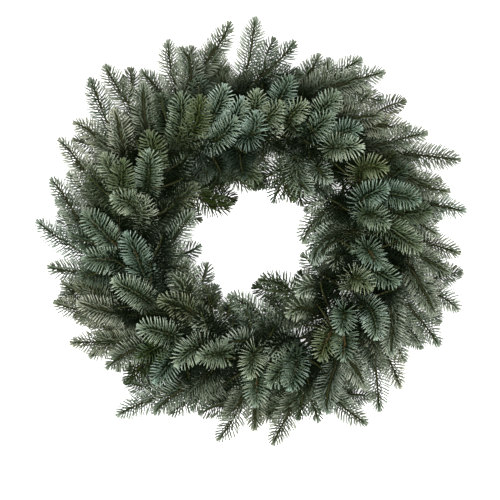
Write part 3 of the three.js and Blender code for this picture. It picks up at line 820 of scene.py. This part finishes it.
def row_places(rows, foliated, draw):
    """Distances back from the tip, and turns from the top, of the needles in every row and in the
    brush. Rows are evenly pitched, with a little scatter, and more open deep in the wreath."""
    places, turns = [], []
    for turn, start, pitch in rows:
        near = np.arange(FIRST_NEEDLE + start * pitch, min(foliated, DENSE_LENGTH), pitch)
        far = np.arange(DENSE_LENGTH + start * pitch, foliated, 2 * pitch)
        row = np.concatenate([near, far])
        places.append(row + draw.normal(0, PLACE_SCATTER, len(row)))
        turns.append(turn + draw.normal(0, TURN_SCATTER, len(row)))
    places.append(draw.uniform(0.0, BRUSH_DEPTH, BRUSH))
    turns.append(np.arange(BRUSH) * 360 / BRUSH)
    return np.clip(np.concatenate(places), 0, None), np.concatenate(turns)


def needles_along(curve, rows, bare, habit, tone, draw):
    """The roots, ways and colour values of the needles of a twig, which is leafy but for its bare
    start.

    A lean is counted from the twig, and a turn round it from the top. Near the tip the needles are
    shorter and lean further forward, by an exponential of the distance from it. Those on top of the
    twig lean forward too, are a little shorter and carry less wax. Further back than their fresh length
    they darken and lose wax, for age and as painted shade deeper in the wreath. The tone is the twig's
    wax and warmth, and the least painted shade that its needles have, which is less near a tip that
    isn't shaded.
    """
    length = path_length(curve)
    from_tip, turn = row_places(rows, length - bare, draw)
    count = len(from_tip)
    share = 1 - from_tip / length
    where, steps = share * (len(curve) - 1), np.arange(len(curve))
    slope = unit(np.gradient(curve, axis=0))
    centre = np.stack([np.interp(where, steps, axis) for axis in curve.T], axis=1)
    along = unit(np.stack([np.interp(where, steps, axis) for axis in slope.T], axis=1))
    up = unit(UP - along * along[:, 2:])
    side = np.cross(along, up)

    turn = np.radians(turn)[:, None]
    spoke = up * np.cos(turn) + side * np.sin(turn)
    stand, taper, fresh = habit
    near_tip = np.exp(-from_tip / taper)[:, None]
    top = np.clip(np.cos(turn), 0, 1) ** 2
    lean = stand - TOP_LEAN * top + draw.normal(0, LEAN_SCATTER, (count, 1))
    lean -= (lean - TIP_LEAN) * near_tip ** TIP_LEAN_EASE
    strays = draw.random((count, 1)) < STRAY_SHARE
    lean = np.radians(np.where(strays, lean + draw.normal(0, STRAY_SCATTER, (count, 1)), lean))
    way = unit(along * np.cos(lean) + spoke * np.sin(lean))

    bend = UPWARD_BEND * up + along + draw.normal(0, BEND_SCATTER, (count, 3))
    bend = unit(bend - way * np.sum(bend * way, axis=1, keepdims=True))
    faces_up = FACE_LIFT * up + spoke * np.cos(lean) - along * np.sin(lean)
    faces_up = faces_up + draw.normal(0, FACE_SCATTER, (count, 3))

    wax, warmth, painted_shade = tone
    # Painted shade with age: darker further back from the tip, and at least the tone's painted shade.
    age = np.clip((from_tip - fresh) / AGEING_AND_SHADING_LENGTH, 0, MOST_AGED_AND_SHADED)
    age = np.maximum(age, painted_shade * (1 - (1 - painted_shade) * near_tip[:, 0]))
    waxed = 1 - TOP_BARER * (top * (1 - near_tip))[:, 0]
    length_share = (1 - TOP_SHORTER * top) * (1 - TIP_SHORTER * near_tip)
    return {
        "root": centre + spoke * twig_radius(share)[:, None] * ROOT_DEPTH,
        "way": way,
        "bend": bend * draw.uniform(*BENDS, (count, 1)),
        "faces_up": faces_up,
        "length": length_share * NEEDLE_LENGTH * draw.uniform(*NEEDLE_LENGTHS, (count, 1)),
        "wax": np.clip((wax + draw.normal(0, WAX_SCATTER, count)) * waxed * (1 - age), 0, 1),
        "age": age,
        "warmth": np.clip(warmth + draw.normal(0, WARMTH_SCATTER, count), 0, 1),
    }


def needle_mesh(needles, width):
    """Every needle's surface at once.

    Its centre line leaves along its way and bends by the square of the distance, so that it is a
    parabola. At three stations it has a diamond section, wide across and thin through, and it ends
    in a blunt point. The floor presses it up: a height h becomes half the sum of h and the square
    root of h squared plus the ease squared.
    """
    count = len(needles["root"])
    share = NEEDLE_STATIONS[None, :, None]
    root, way, bend = (needles[key][:, None] for key in ("root", "way", "bend"))
    length = needles["length"][:, None]
    centre = root + length * (way * share + bend * share**2)
    along = unit(way + 2 * bend * share)
    across = unit(np.cross(needles["faces_up"][:, None], along))
    through = np.cross(along, across)
    profile = NEEDLE_PROFILE[None, :, None]
    wide = across * profile * width / 2
    thin = through * profile * NEEDLE_THICKNESS / 2
    rings = np.stack([centre + wide, centre + thin, centre - wide, centre - thin], axis=2)
    tip = root + length * (way + bend)
    stations, sides = rings.shape[1:3]
    points = np.concatenate([rings.reshape(count, stations * sides, 3), tip], axis=1)
    points[..., 2] = (points[..., 2] + np.sqrt(points[..., 2] ** 2 + FLOOR_EASE**2)) / 2

    here = sides * np.arange(stations - 1)[:, None]
    there = here + sides
    side = np.arange(sides)
    after = (side + 1) % sides
    walls = np.stack([here + side, here + after, there + after, there + side], axis=-1)
    quads = np.concatenate([walls.reshape(-1, 4), side[None, ::-1]])
    last = sides * (stations - 1)
    point = np.stack([last + side, last + after, np.full(sides, sides * stations)], axis=-1)
    each = sides * stations + 1
    step = each * np.arange(count)[:, None, None]
    faces = [(quads + step).reshape(-1, 4), (point + step).reshape(-1, 3)]

    ring_across = [1.0, 0.0, -1.0, 0.0]
    values = {
        "across": np.tile(np.concatenate([np.tile(ring_across, stations), [0.0]]), count),
        "along": np.tile(np.concatenate([np.repeat(NEEDLE_STATIONS, sides), [1.0]]), count),
        "wax": np.repeat(needles["wax"], each),
        "age": np.repeat(needles["age"], each),
        "warmth": np.repeat(needles["warmth"], each),
    }
    return points.reshape(-1, 3), faces, values


def wax_group():
    """Shader group: the two rows of wax on a face, and how much wax shows, from the place across it and
    along it. Wax fades towards the root as painted shade where the needle meets its twig.
    """
    group = bpy.data.node_groups.new("wax_rows", "ShaderNodeTree")
    for name in ("Across", "Along", "Wax"):
        group.interface.new_socket(name, in_out="INPUT", socket_type="NodeSocketFloat")
    group.interface.new_socket("Shown", in_out="OUTPUT", socket_type="NodeSocketFloat")
    given = group.nodes.new("NodeGroupInput").outputs
    put = group.nodes.new("NodeGroupOutput").inputs
    place = shader_node(group, "ShaderNodeTexCoord").outputs["Object"]

    def worked(operation, first, second):
        return shader_node(group, "ShaderNodeMath", {0: first, 1: second}, operation=operation).outputs[0]

    distance = worked("ABSOLUTE", worked("SUBTRACT", worked("ABSOLUTE", given["Across"], 0.0), 0.5), 0.0)
    row = shader_node(group, "ShaderNodeMapRange", {
        "Value": distance, "From Min": 0.38, "From Max": 0.16}, interpolation_type="SMOOTHSTEP")
    dust = shader_node(group, "ShaderNodeTexNoise", {"Vector": place, "Scale": 900.0, "Detail": 2.0})
    worn = shader_node(group, "ShaderNodeMapRange", {
        "Value": dust.outputs[0], "From Min": 0.3, "From Max": 0.65, "To Min": 0.65})
    # Painted shade: little wax shows near the needle's root, where the twig and other needles shade it.
    tip = shader_node(group, "ShaderNodeMapRange", {
        "Value": given["Along"], "From Min": 0.12, "From Max": 0.8, "To Min": 0.05})
    base = worked("ADD", worked("MULTIPLY", row.outputs[0], 0.35), 0.65)
    shown = worked("MULTIPLY", worked("MULTIPLY", base, worn.outputs[0]), tip.outputs[0])
    group.links.new(worked("MULTIPLY", shown, given["Wax"]), put["Shown"])
    return group


wax_rows = wax_group()
# The near-black green of old needles and of painted shade deep in the wreath, and what thin wax takes
# from the green below it.
OLD_AND_PAINTED_SHADE_GREEN = (0.0017, 0.0042, 0.0008, 1)
THIN_WAX = (0.73, 0.87, 0.73, 1)
THICK_WAX = (1, 1, 1, 1)


def needle_finish(name, deep, olive, cool_wax, warm_wax):
    """Needles of one layer: deep green with an olive turn where warm, darker with age and with painted
    shade, under pale wax in rows. Where the wax is thin the green shows through it."""
    material, tree, surface = new_material(name)
    wax = shader_node(tree, "ShaderNodeGroup", {
        "Across": attribute(tree, "across"), "Along": attribute(tree, "along"),
        "Wax": attribute(tree, "wax")}, node_tree=wax_rows)
    fresh = blended(tree, attribute(tree, "warmth"), deep, olive)
    # The age attribute carries painted shade as well, turning needles deep in the wreath near black.
    green = blended(tree, attribute(tree, "age"), fresh, OLD_AND_PAINTED_SHADE_GREEN)
    thick = blended(tree, attribute(tree, "warmth"), cool_wax, warm_wax)
    tint = blended(tree, wax.outputs[0], THIN_WAX, THICK_WAX)
    waxed = blended(tree, 1.0, thick, tint, blend_type="MULTIPLY")
    colour = blended(tree, wax.outputs[0], green, waxed)
    rough = shader_node(tree, "ShaderNodeMapRange", {
        "Value": wax.outputs[0], "To Min": 0.42, "To Max": 0.75})
    body = shader_node(tree, "ShaderNodeBsdfPrincipled", {
        "Base Color": colour, "Roughness": rough.outputs[0], "Specular IOR Level": 0.025})
    tree.links.new(body.outputs[0], surface)
    return material


# --- Sprays ---------------------------------------------------------------------------------------
# The outer sprays lie low and make the rim, the face sprays stand highest and are bluest, and the
# inner sprays turn in round the hole. Each is one cut branch, tied down by its stem.

# The colours of each layer's needles: the green where cool and where warm, and the wax likewise. The
# inner layer's paler wax is partly painted light, against the shade of the face sprays above it.
NEEDLE_COLOURS = {
    "outer": ((0.009, 0.022, 0.004, 1), (0.026, 0.032, 0.005, 1),
              (0.56, 0.61, 0.55, 1), (0.65, 0.61, 0.47, 1)),
    "face": ((0.009, 0.027, 0.006, 1), (0.04, 0.058, 0.009, 1),
             (0.465, 0.577, 0.512, 1), (0.577, 0.577, 0.41, 1)),
    "inner": ((0.009, 0.021, 0.004, 1), (0.032, 0.043, 0.007, 1),
              (0.57, 0.65, 0.58, 1), (0.66, 0.65, 0.5, 1)),
}

# How far the wax and the warmth of a tip stray from its tone, and how far apart the layers' seeds are.
TONE_SCATTER = (0.1, 0.14)
SEED_STEP = 1000

for layer_index, layer in enumerate(LAYERS):
    finish = needle_finish(f"{layer}_needles", *NEEDLE_COLOURS[layer])
    for bunch in range(BUNCH_COUNT):
        node = f"spray_{layer}_{bunch + 1:02d}"
        draw = np.random.default_rng(SEED_STEP * layer_index + bunch)
        tips = BUNCHES[bunch][layer_index]
        twigs, cut_end = spray_twigs(node, layer, bunch, tips)
        shoots, grown = [], []
        for curve, tip in zip(twigs, tips):
            wax, warmth = tone_of(*tip[:2]) + draw.normal(0, TONE_SCATTER)
            habit = HABITS[layer]
            grown.append(needles_along(curve, TWIG_ROWS[layer], BARE_TWIG, habit, (wax, warmth, 0), draw))
            # Lower shoots get painted shade by where their tips reach, darkest under the face sprays.
            for shoot, shade in side_shoots(curve, layer, draw):
                shoots.append(shoot)
                tone = (wax, warmth, shade)
                grown.append(needles_along(shoot, SHOOT_ROWS, BARE_SHOOT, habit, tone, draw))
        needles = {key: np.concatenate([one[key] for one in grown]) for key in grown[0]}
        points, faces, values = needle_mesh(needles, NEEDLE_WIDTHS[layer])
        needle_piece = mesh_piece(f"{node}_needles", in_metres(points), faces, finish, values)
        ruddy_twigs = len(twigs) if layer == "face" else 0
        points, faces, values = spray_bark(twigs, shoots, cut_end, ruddy_twigs, draw)
        twig_piece = mesh_piece(f"{node}_twigs", in_metres(points), faces, bark_finish, values)
        for piece in (needle_piece, twig_piece):
            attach(piece, "root")
            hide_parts(node)
